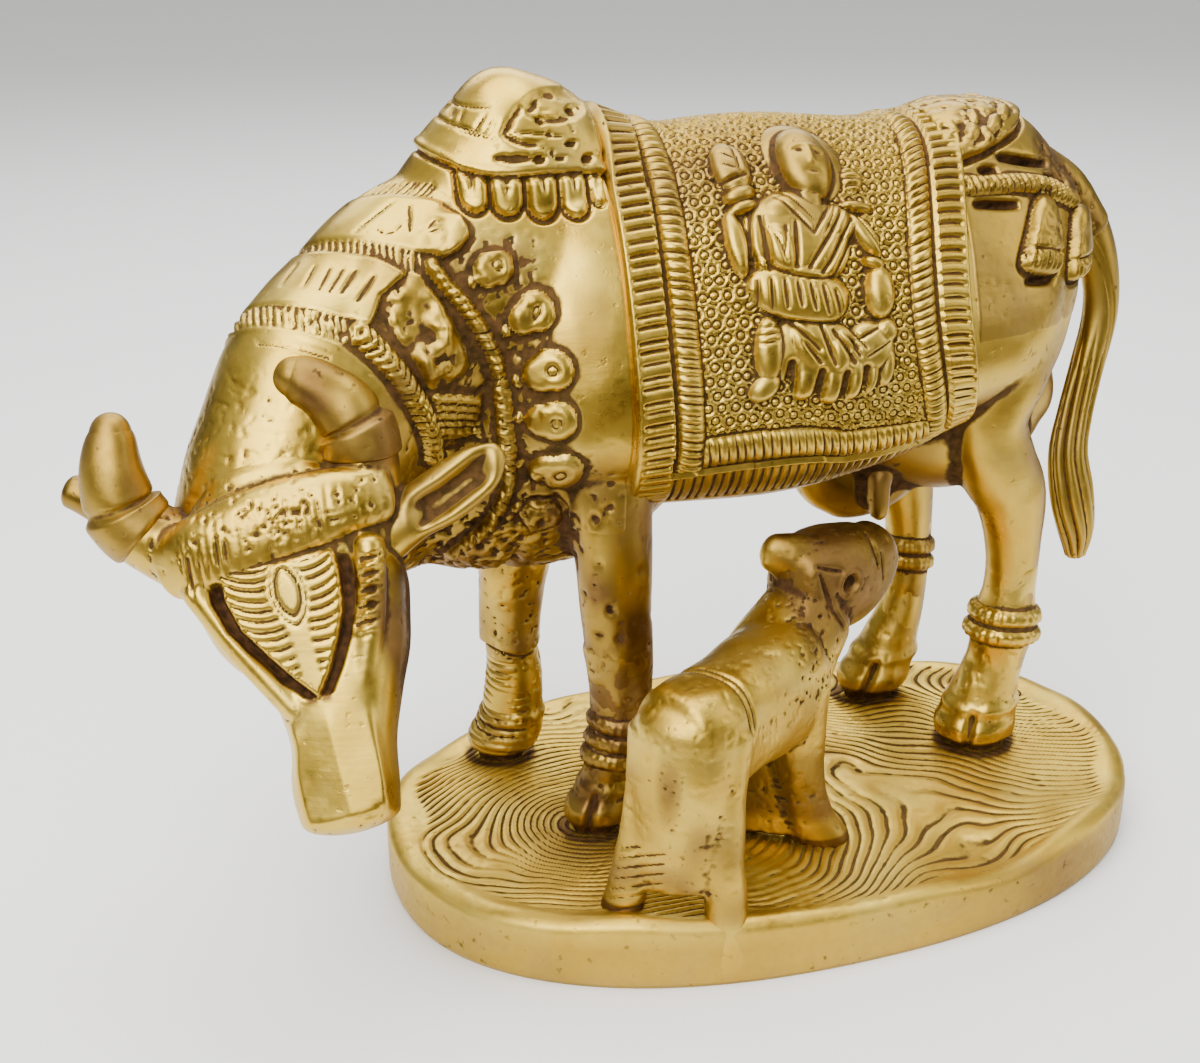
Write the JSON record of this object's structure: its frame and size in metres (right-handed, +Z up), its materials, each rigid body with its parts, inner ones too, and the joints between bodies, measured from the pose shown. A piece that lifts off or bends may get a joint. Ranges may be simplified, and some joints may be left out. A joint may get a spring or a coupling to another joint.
{
  "type": "cow and calf statue",
  "caption": "Brass figure of a humped cow in festival trappings with a suckling calf, cast in one with its oval base.",
  "frame": {"origin": "middle of the base's flat underside", "axes": "+Z up, X along the cow with its head toward -X, and the side that shows the calf and the seated figure facing -Y"},
  "size_m": [0.1587, 0.074, 0.1187],
  "materials": {
    "polished_brass": "hand-buffed yellow brass, bright on the high places, with brown patina left in the carving and casting pits"
  },
  "bodies": {
    "root": {"cow_and_calf_casting": "polished_brass"}
  },
  "joints": []
}
